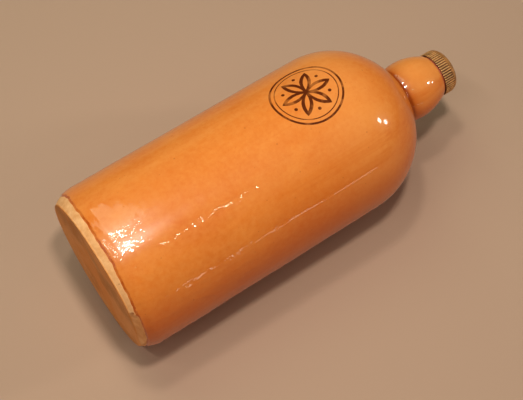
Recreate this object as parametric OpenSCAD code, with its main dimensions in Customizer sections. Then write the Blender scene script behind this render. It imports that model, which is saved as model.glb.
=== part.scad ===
// Stoneware hot water bottle with a knurled brass screw stopper.
// It lies on its side: the axis runs along X, base at -X, stopper at +X.
// The lowest line of the body is at z = 0, and the origin is below the middle.

/* [Bottle] */
// Outside diameter of the body, in millimetres
body_d = 115; // [90:1:150]
// Height of the straight side, from the base to the start of the shoulder
shoulder_h = 183; // [120:1:240]
// How far the flat base stands in from the side, on the radius
heel_in = 5.5; // [2:0.5:10]
// Radius of the long curve between the side and the base
heel_r = 20; // [10:1:60]
// Width of the bevel round the flat base
base_bevel = 1.2; // [0.4:0.1:3]
// Thickness of the stoneware side
wall = 8; // [5:0.5:12]
// Thickness of the stoneware floor
floor_t = 10; // [6:0.5:16]
// Radius of the curve between side and floor, inside
inner_heel_r = 16; // [6:1:25]

/* [Neck] */
// Height of the neck, from the crease at the shoulder to the mouth
neck_l = 31.5; // [22:0.5:45]
// Height of the widest part of the neck above the crease
bulb_rise = 11; // [6:0.5:16]
// How far the widest part of the neck stands out from the mouth, on the radius
bulb_out = 6.3; // [3:0.1:12]
// How far the foot of the neck is drawn in from its widest part, on the radius
foot_in = 1.9; // [0.8:0.1:4]
// Width of the flat step at the bottom of the crease
crease_step = 0.3; // [0.1:0.05:1]
// Width of the stoneware lip around the bush flange
lip_w = 2.5; // [1.5:0.1:6]
// Width of the bevel on the lip
lip_bevel = 0.9; // [0.3:0.1:1.4]
// Fall of that bevel for each millimetre outwards
lip_slope = 0.4; // [0.2:0.05:0.8]
// Diameter of the throat below the bush
throat_d = 19.2; // [14:0.2:19.6]

/* [Bush] */
// Length of the brass bush, flange included
bush_l = 17; // [12:0.5:24]
// Wall of the bush
bush_wall = 2.2; // [1.4:0.1:4]
// Thickness of the bush flange
flange_t = 1.2; // [0.6:0.1:2.5]
// How far the flange reaches past the cement onto the stoneware
flange_over = 0.7; // [0.3:0.1:2]
// Gap around the flange in its recess
flange_gap = 0.05; // [0.02:0.01:0.2]
// Depth of each keying groove in the outside of the bush
key_depth = 0.7; // [0.3:0.1:1.2]
// Width of each keying groove
key_w = 2.4; // [1:0.2:4]
// Number of keying grooves
key_count = 3; // [1:1:4]
// Thickness of the cement around the bush
cement_t = 1.2; // [0.6:0.1:3]
// Thickness of the cement under the end of the bush
bed_t = 1; // [0.5:0.1:3]

/* [Stopper] */
// Outside diameter of the threaded stem
stem_d = 17; // [12:0.5:24]
// Length of the stem below the mouth
stem_l = 14; // [8:0.5:16]
// Bevel at the end of the stem
stem_bevel = 1.2; // [0.4:0.1:2]
// Running gap between stem and bush, on the radius
thread_gap = 0.1; // [0.02:0.02:0.3]
// Height of the head, from the rim of the skirt to the top
head_h = 12; // [9:0.1:18]
// Thickness of the pressed head at the skirt, below the ribs
skirt_t = 0.8; // [0.4:0.05:1.5]
// Thickness of the pressed head at the middle of the crown
crown_t = 2.2; // [1.6:0.1:4]
// Height of the crown's dome
dome_h = 0.5; // [0.3:0.1:2]
// Radius of the rounded edge between skirt and crown
crown_r = 5.9; // [3:0.1:7]
// Width of the flat ring between that edge and the dome
crown_flat = 0.4; // [0.2:0.1:1]
// Number of ribs around the head
rib_count = 56; // [24:2:80]
// Depth of the grooves between the ribs
rib_depth = 0.55; // [0.2:0.05:0.9]
// Share of the pitch that the crest of a rib takes
rib_crest = 0.35; // [0.1:0.05:0.6]
// Share of the pitch that the bottom of a groove takes
rib_root = 0.15; // [0.05:0.05:0.35]

/* [Washer] */
// Thickness of the sealing washer
washer_t = 1.6; // [1:0.1:4]
// How far the washer's edge stands in from the edge of the mouth, on the radius
washer_in = 0.95; // [0.5:0.05:3]
// Gap on the radius between the washer and the stem, and around it in the skirt
washer_gap = 0.3; // [0.1:0.05:0.6]
// Edge of the washer left showing below the skirt
washer_show = 0.6; // [0.2:0.1:1.2]

/* [Hidden] */
$fn = 120;
// Overlap that lets a cutter pass right through a face
eps = 1;
// Turn about the axis at which the bottle lies. Its seam lies beside the lowest line, not on it
seam_turn = 1.875;

// Stopper and bush, from the axis outwards
stem_r = stem_d / 2;
bore_r = stem_r + thread_gap;
bush_r = bore_r + bush_wall;
seat_r = bush_r + cement_t;
flange_r = seat_r + flange_over;

// Radii of the bottle
body_r = body_d / 2;
chamber_r = body_r - wall;
throat_r = throat_d / 2;
mouth_r = flange_r + flange_gap + lip_w;
bulb_r = mouth_r + bulb_out;
foot_r = bulb_r - foot_in;
crease_r = foot_r + crease_step;

// Washer and head, which cover the mouth
washer_in_r = stem_r + washer_gap;
washer_r = mouth_r - washer_in;
skirt_in_r = washer_r + washer_gap;
groove_r = skirt_in_r + skirt_t;
head_r = groove_r + rib_depth;
// Rounded edge of the core, which follows the crown's
core_edge_r = crown_r - skirt_t - rib_depth;

// Heights along the axis, measured from the flat base
heel_h = sqrt(2 * heel_r * heel_in - heel_in * heel_in);
crease_h = shoulder_h + sqrt(body_r * body_r - crease_r * crease_r);
bulb_h = crease_h + bulb_rise;
mouth_h = crease_h + neck_l;
recess_h = mouth_h - flange_t;
bush_h = mouth_h - bush_l;
ledge_h = bush_h - bed_t;
washer_top = mouth_h + washer_t;
skirt_h = mouth_h + washer_show;
head_top = skirt_h + head_h;
core_top = head_top - crown_t;
overall_l = head_top;

// Arc through the widest point of the neck with a drop of d over a length of l
function arc_r(l, d) = (l * l + d * d) / (2 * d);
foot_arc_r = arc_r(bulb_rise, foot_in);
lip_arc_r = arc_r(neck_l - bulb_rise, bulb_out);
// Sphere of the crown's dome
dome_r = arc_r(head_r - crown_r - crown_flat, dome_h);

// Lays an upright piece down in the shared frame
module lay_down() {
    translate([-overall_l / 2, 0, body_r]) rotate([0, 90, 0]) rotate([0, 0, seam_turn])
        children();
}

// Rectangle in the half plane of a profile
module band(r0, r1, h0, h1) {
    translate([r0, h0]) square([r1 - r0, h1 - h0]);
}

// Part of a disc between two heights
module arc_slice(centre, r, h0, h1) {
    intersection() {
        translate(centre) circle(r);
        band(0, centre[0] + r + eps, h0, h1);
    }
}

// Outside of the bottle as a filled half profile
module bottle_outline() {
    difference() {
        union() {
            arc_slice([body_r - heel_r, heel_h], heel_r, 0, heel_h);
            // The heel's disc stops short of the axis, so this fills the middle
            band(0, body_r - heel_r, 0, heel_h);
            band(0, body_r, heel_h, shoulder_h);
            arc_slice([0, shoulder_h], body_r, shoulder_h - eps, crease_h);
            arc_slice([bulb_r - foot_arc_r, bulb_h], foot_arc_r, crease_h, bulb_h);
            arc_slice([bulb_r - lip_arc_r, bulb_h], lip_arc_r, bulb_h, mouth_h);
        }
        bevel([body_r - heel_in - base_bevel, 0], heel_r, 1);
        bevel([mouth_r - lip_bevel, mouth_h], bulb_out, -lip_slope);
    }
}

// Cutter for a bevel that starts at a point on a flat end and opens outwards
module bevel(start, reach, slope) {
    polygon([start - [eps, slope * eps],
             start + [reach, slope * reach],
             start + [reach, -slope * eps]]);
}

// Water chamber and throat as a filled half profile
module chamber_outline() {
    band(0, chamber_r - inner_heel_r, floor_t, floor_t + inner_heel_r);
    arc_slice([chamber_r - inner_heel_r, floor_t + inner_heel_r], inner_heel_r,
              floor_t, floor_t + inner_heel_r);
    band(0, chamber_r, floor_t + inner_heel_r, shoulder_h);
    arc_slice([0, shoulder_h], chamber_r, shoulder_h - eps, shoulder_h + chamber_r);
    band(0, throat_r, shoulder_h, mouth_h);
}

// Seat for the cemented bush, and the recess for its flange
module seat_outline() {
    band(0, seat_r, ledge_h, mouth_h);
    band(0, flange_r + flange_gap, recess_h, mouth_h + eps);
}

// Brass bush as a half profile, with its keying grooves
module bush_outline() {
    pitch = (bush_l - flange_t) / (key_count + 1);
    difference() {
        union() {
            band(bore_r, bush_r, bush_h, mouth_h);
            band(bore_r, flange_r, recess_h, mouth_h);
        }
        for (i = [1 : key_count])
            band(bush_r - key_depth, bush_r + eps,
                 bush_h + i * pitch - key_w / 2, bush_h + i * pitch + key_w / 2);
    }
}

// Toothed outline whose points stand out past the head's radius,
// so that the turned outside cuts them back to crests
module ribbed_outline() {
    step = 360 / rib_count;
    root = rib_root / 2;
    point_r = head_r + rib_depth * rib_crest / (1 - rib_root - rib_crest);
    tooth = [[0, point_r], [0.5 - root, groove_r], [0.5 + root, groove_r]];
    polygon([for (i = [0 : rib_count - 1]) for (p = tooth)
        p[1] * [cos((i + p[0]) * step), sin((i + p[0]) * step)]]);
}

// Half profile of a disc with a rounded upper edge
module rounded_disc(r, edge_r, h0, h1) {
    band(0, r, h0, h1 - edge_r);
    band(0, r - edge_r, h1 - edge_r, h1);
    arc_slice([r - edge_r, h1 - edge_r], edge_r, h1 - edge_r, h1);
}

// Outside of the head as a half profile: skirt, rounded edge and low dome
module head_outline() {
    rounded_disc(head_r, crown_r, skirt_h, head_top - dome_h);
    arc_slice([0, head_top - dome_r], dome_r, head_top - dome_h, head_top);
}

// Fired stoneware body: one hollow piece from base to lip
module stoneware_bottle() {
    color([0.85, 0.49, 0.20]) lay_down() rotate_extrude() difference() {
        bottle_outline();
        chamber_outline();
        seat_outline();
    }
}

// Cement that beds the bush in the neck
module cement_bed() {
    color([0.78, 0.74, 0.66]) lay_down() rotate_extrude() difference() {
        band(throat_r, seat_r, ledge_h, recess_h);
        bush_outline();
        band(0, bush_r - key_depth, bush_h, mouth_h);
    }
}

// Brass bush with a flange let in flush with the mouth
module neck_bush() {
    color([0.70, 0.54, 0.28]) lay_down() rotate_extrude() bush_outline();
}

// Rubber washer that the stopper presses on the flange
module sealing_washer() {
    color([0.45, 0.17, 0.12]) lay_down() rotate_extrude()
        band(washer_in_r, washer_r, mouth_h, washer_top);
}

// Pressed and ribbed head of the stopper
module stopper_head() {
    color([0.56, 0.41, 0.25]) lay_down() difference() {
        intersection() {
            translate([0, 0, skirt_h]) linear_extrude(head_h) ribbed_outline();
            rotate_extrude() head_outline();
        }
        rotate_extrude() rounded_disc(skirt_in_r, core_edge_r, skirt_h - eps, core_top);
    }
}

// Cast core of the stopper: a disc that fills the head, and the stem below it
module stopper_stem() {
    color([0.66, 0.50, 0.26]) lay_down() rotate_extrude() difference() {
        union() {
            rounded_disc(skirt_in_r, core_edge_r, washer_top, core_top);
            band(0, stem_r, mouth_h - stem_l, washer_top);
        }
        bevel([stem_r - stem_bevel, mouth_h - stem_l], stem_bevel + eps, 1);
    }
}

stoneware_bottle();
cement_bed();
neck_bush();
sealing_washer();
stopper_head();
stopper_stem();
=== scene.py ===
"""Stoneware hot water bottle with a ribbed brass screw stopper, lying on its side."""

import logging
import math
from dataclasses import dataclass, field
from enum import Enum
from functools import cached_property
from typing import Sequence

import bmesh
import bpy
import numpy as np
from mathutils import Matrix, Vector


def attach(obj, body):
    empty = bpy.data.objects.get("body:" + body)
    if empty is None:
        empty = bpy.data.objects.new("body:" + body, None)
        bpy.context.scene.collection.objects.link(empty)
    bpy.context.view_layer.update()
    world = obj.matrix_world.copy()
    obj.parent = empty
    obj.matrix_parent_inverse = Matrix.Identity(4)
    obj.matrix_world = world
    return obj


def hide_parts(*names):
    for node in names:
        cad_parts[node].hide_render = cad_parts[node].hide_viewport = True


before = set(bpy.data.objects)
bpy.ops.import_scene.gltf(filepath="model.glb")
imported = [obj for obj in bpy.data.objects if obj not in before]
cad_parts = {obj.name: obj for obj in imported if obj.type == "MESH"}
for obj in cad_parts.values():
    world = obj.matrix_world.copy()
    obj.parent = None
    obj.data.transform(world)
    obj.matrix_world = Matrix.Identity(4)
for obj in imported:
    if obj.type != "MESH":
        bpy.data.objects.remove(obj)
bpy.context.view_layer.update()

log = logging.getLogger("hot_water_bottle")

MM = 0.001
FULL_TURN = 2.0 * math.pi
# Width of the photograph's frame, in pixels
IMAGE_W = 523
# Overall length and the height of the axis above the floor, in millimetres
LENGTH = 281.028
AXIS_Z = 57.5
# Wave lengths so long that a ripple runs only round the axis, in millimetres
ROUND_ONLY = (900.0, 1000.0)

Colour = tuple[float, float, float, float]
Point = tuple[float, float]
Profile = list[Point]
Place = tuple[float, float, float]
Socket = bpy.types.NodeSocket
Node = bpy.types.Node


class Body(Enum):
    """Bodies of the frame that the pieces ride on."""

    BOTTLE = "bottle"
    WASHER = "washer"
    STOPPER = "stopper"


class Slot(Enum):
    """Material slots of the record."""

    GLAZE = "honey_glaze"
    BUSH = "bush_brass"
    RUBBER = "washer_rubber"
    STOPPER = "stopper_brass"


class Lamp(Enum):
    """Shapes of studio lamp."""

    OBLONG = "RECTANGLE"
    ROUND = "DISK"


def srgb(*written: int) -> Colour:
    """Turns a written screen colour into a linear one.

    Args:
        written: Red, green and blue, 0 to 255.

    Returns:
        The linear colour with full alpha.
    """
    parts = [value / 255.0 for value in written]
    red, green, blue = (part / 12.92 if part <= 0.04045 else ((part + 0.055) / 1.055) ** 2.4
                        for part in parts)
    return red, green, blue, 1.0


def smooth(low: float, high: float, value: np.ndarray) -> np.ndarray:
    """Smooth step from 0 at low to 1 at high.

    Args:
        low: Where the step starts.
        high: Where it ends.
        value: Values to test.

    Returns:
        The step at each value.
    """
    part = np.clip((value - low) / (high - low), 0.0, 1.0)
    return part * part * (3.0 - 2.0 * part)


class Ripple:
    """Soft unevenness of a hand-finished surface, periodic round the axis."""

    def __init__(self, seed: int, waves: int, turns: tuple[int, int], lengths: Point) -> None:
        """Draws the waves.

        Args:
            seed: Seed of the draw.
            waves: Number of waves that are summed.
            turns: Least and most whole waves round the axis.
            lengths: Shortest and longest wave along the axis, in millimetres.
        """
        rng = np.random.default_rng(seed)
        self.turns = rng.integers(turns[0], turns[1] + 1, waves)
        self.rates = FULL_TURN / rng.uniform(lengths[0], lengths[1], waves)
        self.rates *= rng.choice((-1.0, 1.0), waves)
        self.starts = rng.uniform(0.0, FULL_TURN, waves)

    def at(self, angle: np.ndarray, height: np.ndarray) -> np.ndarray:
        """Height of the ripple.

        Args:
            angle: Angles round the axis, in radians.
            height: Places along the axis, in millimetres.

        Returns:
            Values of about -1 to 1.
        """
        total = np.zeros(np.broadcast(angle, height).shape)
        for turn, rate, start in zip(self.turns, self.rates, self.starts):
            total += np.cos(turn * angle + rate * height + start)
        return total / math.sqrt(len(self.turns))


def arc(centre: Point, radius: float, start: float, end: float, count: int) -> Profile:
    """Points along an arc of a half profile.

    Args:
        centre: Height and radius of the centre, in millimetres.
        radius: Radius of the arc.
        start: First angle in degrees, 0 outwards and 90 towards the mouth.
        end: Last angle in degrees.
        count: Number of points.

    Returns:
        Points as height and radius.
    """
    return [(centre[0] + radius * math.sin(a), centre[1] + radius * math.cos(a))
            for a in np.radians(np.linspace(start, end, count))]


def run(start: Point, end: Point, count: int) -> Profile:
    """Evenly spaced points on a straight run of a half profile.

    Args:
        start: First point as height and radius.
        end: Last point.
        count: Number of points.

    Returns:
        The points, both ends included.
    """
    return [(start[0] + (end[0] - start[0]) * t, start[1] + (end[1] - start[1]) * t)
            for t in np.linspace(0.0, 1.0, count)]


def bend(start: Point, knee: Point, end: Point, count: int) -> Profile:
    """Points on a soft corner between two runs.

    Args:
        start: Where the corner starts.
        knee: Point that the corner is drawn towards.
        end: Where the corner ends.
        count: Number of points.

    Returns:
        The points, both ends included.
    """
    points = []
    for t in np.linspace(0.0, 1.0, count):
        a, b, c = (1 - t) ** 2, 2 * t * (1 - t), t * t
        points.append((a * start[0] + b * knee[0] + c * end[0],
                       a * start[1] + b * knee[1] + c * end[1]))
    return points


def join(*parts: Profile) -> Profile:
    """Strings profile parts together and drops points that repeat.

    Args:
        parts: Parts in order.

    Returns:
        One profile.
    """
    whole: Profile = []
    for part in parts:
        for point in part:
            if not whole or math.dist(whole[-1], point) > 1e-4:
                whole.append(point)
    return whole


def angles_round(count: int) -> np.ndarray:
    """Evenly spaced angles round the axis, 0 at the top of the lying bottle."""
    return np.linspace(0.0, FULL_TURN, count, endpoint=False)


def spread(profile: Profile, count: int) -> tuple[np.ndarray, np.ndarray]:
    """Copies a half profile to every angle.

    Args:
        profile: Points as height and radius.
        count: Number of angles.

    Returns:
        Heights and radii, one row a ring.
    """
    both = np.array(profile)
    ones = np.ones((1, count))
    return both[:, :1] * ones, both[:, 1:] * ones


@dataclass
class Turned:
    """A closed turned mesh: rings of points round the bottle's axis.

    Heights and radii have one row a ring, in millimetres. Where the mesh is a hoop, its last
    ring joins its first.
    """

    heights: np.ndarray
    radii: np.ndarray
    hoop: bool = False

    def points(self) -> np.ndarray:
        """Places the rings in the shared frame.

        Returns:
            Points in metres, one row a ring.
        """
        angles = angles_round(self.heights.shape[1])
        x = self.heights - LENGTH / 2.0
        y = -self.radii * np.sin(angles)
        z = AXIS_Z + self.radii * np.cos(angles)
        return np.stack((x, y, z), axis=-1) * MM

    def build(self, name: str, *materials: bpy.types.Material, crease: float = 50.0,
              zones: Sequence[int] | None = None,
              marks: dict[str, np.ndarray] | None = None) -> bpy.types.Object:
        """Makes the object.

        Args:
            name: Name of the piece.
            materials: Finishes, in the order that zones counts them.
            crease: Angle in degrees above which an edge stays sharp.
            zones: Finish of the faces after each ring.
            marks: Values on the points, by name, one row a ring.

        Returns:
            The new object, in the scene.
        """
        points = self.points()
        rings, count = self.heights.shape
        zones = zones or [0] * rings
        verts = points.reshape(-1, 3).tolist()
        faces: list[tuple[int, ...]] = []
        finish: list[int] = []
        for i in range(rings if self.hoop else rings - 1):
            low, high = i * count, ((i + 1) % rings) * count
            for j in range(count):
                k = (j + 1) % count
                faces.append((low + j, high + j, high + k, low + k))
            finish += [zones[i]] * count
        caps = () if self.hoop else ((0, 0), (rings - 1, rings - 2))
        for ring, zone in caps:
            hub = len(verts)
            verts.append(points[ring].mean(axis=0).tolist())
            for j in range(count):
                pair = (ring * count + j, ring * count + (j + 1) % count)
                faces.append((hub, *(pair if ring == 0 else pair[::-1])))
            finish += [zones[zone]] * count
        mesh = bpy.data.meshes.new(name)
        mesh.from_pydata(verts, [], faces)
        for material in materials:
            mesh.materials.append(material)
        mesh.polygons.foreach_set("material_index", finish)
        for key, values in (marks or {}).items():
            layer = mesh.attributes.new(key, "FLOAT", "POINT")
            flat = np.zeros(len(verts), dtype=np.float32)
            flat[: values.size] = values.reshape(-1)
            layer.data.foreach_set("value", flat)
        self._face_outwards(mesh)
        mesh.polygons.foreach_set("use_smooth", [True] * len(mesh.polygons))
        mesh.set_sharp_from_angle(angle=math.radians(crease))
        mesh.update()
        piece = bpy.data.objects.new(name, mesh)
        bpy.context.scene.collection.objects.link(piece)
        return piece

    @staticmethod
    def _face_outwards(mesh: bpy.types.Mesh) -> None:
        """Turns every face of a closed mesh outwards.

        Args:
            mesh: Mesh to change.
        """
        work = bmesh.new()
        work.from_mesh(mesh)
        bmesh.ops.recalc_face_normals(work, faces=work.faces)
        work.to_mesh(mesh)
        work.free()


class Graph:
    """Short hand for building a node tree."""

    def __init__(self, tree: bpy.types.NodeTree) -> None:
        """Keeps the tree."""
        self.tree = tree

    def add(self, kind: str, **settings: object) -> Node:
        """Adds a node.

        Args:
            kind: Blender's name of the node.
            settings: Properties to set on it.

        Returns:
            The node.
        """
        node = self.tree.nodes.new(kind)
        for key, value in settings.items():
            setattr(node, key, value)
        return node

    def feed(self, socket: Socket, value: object) -> None:
        """Links a socket, or sets its value.

        Args:
            socket: Input to feed.
            value: Another socket, or a constant.
        """
        if isinstance(value, Socket):
            self.tree.links.new(value, socket)
        else:
            socket.default_value = value

    def math(self, operation: str, first: object, second: object = 0.0,
             clamp: bool = False) -> Socket:
        """Adds a math node.

        Args:
            operation: Blender's name of the operation.
            first: First value.
            second: Second value.
            clamp: True to keep the result between 0 and 1.

        Returns:
            The result.
        """
        node = self.add("ShaderNodeMath", operation=operation, use_clamp=clamp)
        self.feed(node.inputs[0], first)
        self.feed(node.inputs[1], second)
        return node.outputs[0]

    def plus(self, first: object, second: object, clamp: bool = False) -> Socket:
        """Sum of two values."""
        return self.math("ADD", first, second, clamp)

    def minus(self, first: object, second: object, clamp: bool = False) -> Socket:
        """Difference of two values."""
        return self.math("SUBTRACT", first, second, clamp)

    def times(self, first: object, second: object) -> Socket:
        """Product of two values."""
        return self.math("MULTIPLY", first, second)

    def over(self, first: object, second: object) -> Socket:
        """Quotient of two values."""
        return self.math("DIVIDE", first, second)

    def far(self, first: Socket, second: Socket) -> Socket:
        """Distance of a point from two distances at right angles."""
        return self.math("SQRT", self.plus(self.times(first, first), self.times(second, second)))

    def layers(self, tone: object, coats: Sequence[tuple[object, float, Colour]]) -> object:
        """Lays colours over a tone, one on the other.

        Args:
            tone: Colour below.
            coats: Mask, strength and colour of each.

        Returns:
            The colour on top.
        """
        for mask, strength, colour in coats:
            node = self.add("ShaderNodeMix", data_type="RGBA")
            self.feed(node.inputs[0], mask if strength == 1.0 else self.times(mask, strength))
            self.feed(node.inputs[6], tone)
            self.feed(node.inputs[7], colour)
            tone = node.outputs[2]
        return tone

    def step(self, value: object, low: float, high: float, start: float = 0.0,
             end: float = 1.0) -> Socket:
        """Smooth step from one value to another.

        Args:
            value: Value to test.
            low: Where the step starts.
            high: Where it ends.
            start: Result at the start.
            end: Result at the end.

        Returns:
            The result.
        """
        node = self.add("ShaderNodeMapRange", interpolation_type="SMOOTHSTEP")
        self.feed(node.inputs[0], value)
        for index, number in enumerate((low, high, start, end), 1):
            node.inputs[index].default_value = number
        return node.outputs[0]

    def band(self, value: object, rise: Point, fall: Point, top: float = 1.0) -> Socket:
        """Smooth rise from 0 to a top over one stretch of a value, and a fall over a later one."""
        return self.minus(self.step(value, *rise, 0.0, top), self.step(value, *fall, 0.0, top))

    def noise(self, vector: object, scale: object, detail: float = 3.0,
              rough: float = 0.55) -> Socket:
        """Adds a cloud of noise.

        Args:
            vector: Place.
            scale: Features to the unit.
            detail: Number of octaves.
            rough: Strength of each finer octave.

        Returns:
            Values of 0 to 1.
        """
        node = self.add("ShaderNodeTexNoise")
        for key, value in (("Vector", vector), ("Scale", scale), ("Detail", detail),
                           ("Roughness", rough)):
            self.feed(node.inputs[key], value)
        return node.outputs[0]

    def stretch(self, vector: object, *scale: float) -> Socket:
        """Scales a place by axis.

        Args:
            vector: Place.
            scale: Factor for each axis.

        Returns:
            The scaled place.
        """
        node = self.add("ShaderNodeVectorMath", operation="MULTIPLY")
        self.feed(node.inputs[0], vector)
        node.inputs[1].default_value = scale
        return node.outputs[0]

    def group(self, tree: bpy.types.NodeTree, **values: object) -> Node:
        """Places a shared effect.

        Args:
            tree: The effect's node group.
            values: Inputs by name.

        Returns:
            The group node.
        """
        node = self.add("ShaderNodeGroup", node_tree=tree)
        for key, value in values.items():
            self.feed(node.inputs[key], value)
        return node


class Effects:
    """Effects that several finishes share, each built once as a node group."""

    def __init__(self) -> None:
        """Builds the groups."""
        self.axis = self._axis()
        self.mottle = self._mottle()
        self.pits = self._pits()
        self.wear = self._wear()

    @staticmethod
    def _new(name: str, outputs: Sequence[str], **inputs: float) -> tuple[Graph, Node, Node]:
        """Starts a group that takes a place.

        Args:
            name: Name of the group.
            outputs: Names of the value outputs.
            inputs: Default of each further input.

        Returns:
            The graph, and its input and output nodes.
        """
        tree = bpy.data.node_groups.new(name, "ShaderNodeTree")
        tree.interface.new_socket(name="Place", in_out="INPUT", socket_type="NodeSocketVector")
        for key, value in inputs.items():
            socket = tree.interface.new_socket(name=key, in_out="INPUT",
                                               socket_type="NodeSocketFloat")
            socket.default_value = value
        for key in outputs:
            tree.interface.new_socket(name=key, in_out="OUTPUT", socket_type="NodeSocketFloat")
        graph = Graph(tree)
        return graph, graph.add("NodeGroupInput"), graph.add("NodeGroupOutput")

    def _axis(self) -> bpy.types.NodeTree:
        """Height, radius and angle about the bottle's axis from a place in millimetres.

        Returns:
            The node group.
        """
        graph, given, result = self._new("Axis Frame", ("Height", "Radius", "Angle"))
        split = graph.add("ShaderNodeSeparateXYZ")
        graph.feed(split.inputs[0], given.outputs["Place"])
        across = graph.times(split.outputs[1], -1.0)
        above = graph.minus(split.outputs[2], AXIS_Z)
        graph.feed(result.inputs["Height"], graph.plus(split.outputs[0], LENGTH / 2.0))
        graph.feed(result.inputs["Radius"], graph.far(across, above))
        graph.feed(result.inputs["Angle"], graph.math("ARCTAN2", across, above))
        return graph.tree

    def _mottle(self) -> bpy.types.NodeTree:
        """Broad clouds, finer clouds and streaks along the axis.

        Returns:
            The node group.
        """
        graph, given, result = self._new("Fired Mottle", ("Broad", "Fine", "Streak"),
                                         Size=30.0, Contrast=1.0)
        rate = graph.over(1.0, given.outputs["Size"])
        place = given.outputs["Place"]
        gain = graph.times(given.outputs["Contrast"], 2.2)
        drawn_out = graph.stretch(place, 0.045, 1.0, 1.0)
        for key, value in (
                ("Broad", graph.noise(place, rate, 3.0, 0.5)),
                ("Fine", graph.noise(place, graph.times(rate, 6.0), 5.0, 0.62)),
                ("Streak", graph.noise(drawn_out, graph.times(rate, 4.5), 3.0, 0.6))):
            contrast = graph.times(graph.minus(value, 0.5), gain)
            graph.feed(result.inputs[key], graph.plus(contrast, 0.5, clamp=True))
        return graph.tree

    def _pits(self) -> bpy.types.NodeTree:
        """Small scattered pits or specks: 1 in the middle of each, 0 between them.

        Returns:
            The node group.
        """
        graph, given, result = self._new("Scattered Pits", ("Pit",),
                                         Spacing=4.0, Size=0.14, Share=0.35)
        cells = graph.add("ShaderNodeTexVoronoi", feature="F1")
        graph.feed(cells.inputs["Vector"], given.outputs["Place"])
        graph.feed(cells.inputs["Scale"], graph.over(1.0, given.outputs["Spacing"]))
        split = graph.add("ShaderNodeSeparateColor")
        graph.feed(split.inputs[0], cells.outputs["Color"])
        chosen = graph.math("LESS_THAN", split.outputs[0], given.outputs["Share"])
        size = graph.times(given.outputs["Size"], graph.plus(split.outputs[1], 0.4))
        depth = graph.minus(1.0, graph.over(cells.outputs["Distance"], size), clamp=True)
        graph.feed(result.inputs["Pit"], graph.times(depth, chosen))
        return graph.tree

    def _wear(self) -> bpy.types.NodeTree:
        """Rubbed crests and dirty roots of a metal surface, by radius.

        Returns:
            The node group.
        """
        graph, given, result = self._new("Rubbed Metal", ("Rubbed", "Dirt", "Tarnish"),
                                         Radius=0.0, Root=13.4, Crest=13.9, Breakup=1.05)
        place, root = given.outputs["Place"], given.outputs["Root"]
        rise = graph.over(graph.minus(given.outputs["Radius"], root),
                          graph.minus(given.outputs["Crest"], root))
        blot = graph.minus(graph.noise(place, 0.55, 4.0, 0.6), 0.5)
        level = graph.plus(rise, graph.times(blot, given.outputs["Breakup"]))
        tarnish = graph.noise(place, 0.21, 3.0, 0.55)
        graph.feed(result.inputs["Rubbed"], graph.step(level, 0.55, 1.05))
        graph.feed(result.inputs["Dirt"], graph.step(level, 0.1, 0.62, 1.0, 0.0))
        graph.feed(result.inputs["Tarnish"], graph.step(tarnish, 0.36, 0.66))
        return graph.tree


class Surface(Graph):
    """Graph of one finish, with the place on the piece and the shared effects at hand."""

    def __init__(self, name: str, effects: Effects) -> None:
        """Starts the material with one principled shader.

        Args:
            name: Name of the finish.
            effects: Shared effects.
        """
        self.material = bpy.data.materials.new(name)
        self.material.use_nodes = True
        super().__init__(self.material.node_tree)
        self.shader = self.tree.nodes["Principled BSDF"]
        self.effects = effects
        per_metre = 1.0 / MM
        self.place = self.stretch(self.add("ShaderNodeTexCoord").outputs["Object"],
                                  per_metre, per_metre, per_metre)

    @cached_property
    def axis(self) -> Node:
        """Height, radius and angle of the place about the bottle's axis."""
        return self.group(self.effects.axis, Place=self.place)

    def clouds(self, size: float, contrast: float) -> dict[str, Socket]:
        """Values Broad, Fine and Streak of the mottle, by name; size is that of the broad clouds."""
        node = self.group(self.effects.mottle, Place=self.place, Size=size, Contrast=contrast)
        return {socket.name: socket for socket in node.outputs}

    def specks(self, spacing: float, size: float, share: float) -> Socket:
        """Scattered specks: 1 in the middle of each, 0 between; size is against the spacing."""
        return self.group(self.effects.pits, Place=self.place, Spacing=spacing, Size=size,
                          Share=share).outputs["Pit"]

    def mark(self, name: str) -> Socket:
        """Reads a value that the mesh carries on its points."""
        return self.add("ShaderNodeAttribute", attribute_name=name).outputs["Fac"]

    def finish(self, relief: Socket, **values: object) -> bpy.types.Material:
        """Feeds the shader.

        Args:
            relief: Fine relief in millimetres.
            values: Inputs of the shader by name, with _ for a space.

        Returns:
            The finished material.
        """
        for key, value in values.items():
            self.feed(self.shader.inputs[key.replace("_", " ")], value)
        bump = self.add("ShaderNodeBump")
        bump.inputs["Distance"].default_value = MM
        self.feed(bump.inputs["Height"], relief)
        self.feed(self.shader.inputs["Normal"], bump.outputs[0])
        return self.material


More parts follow.
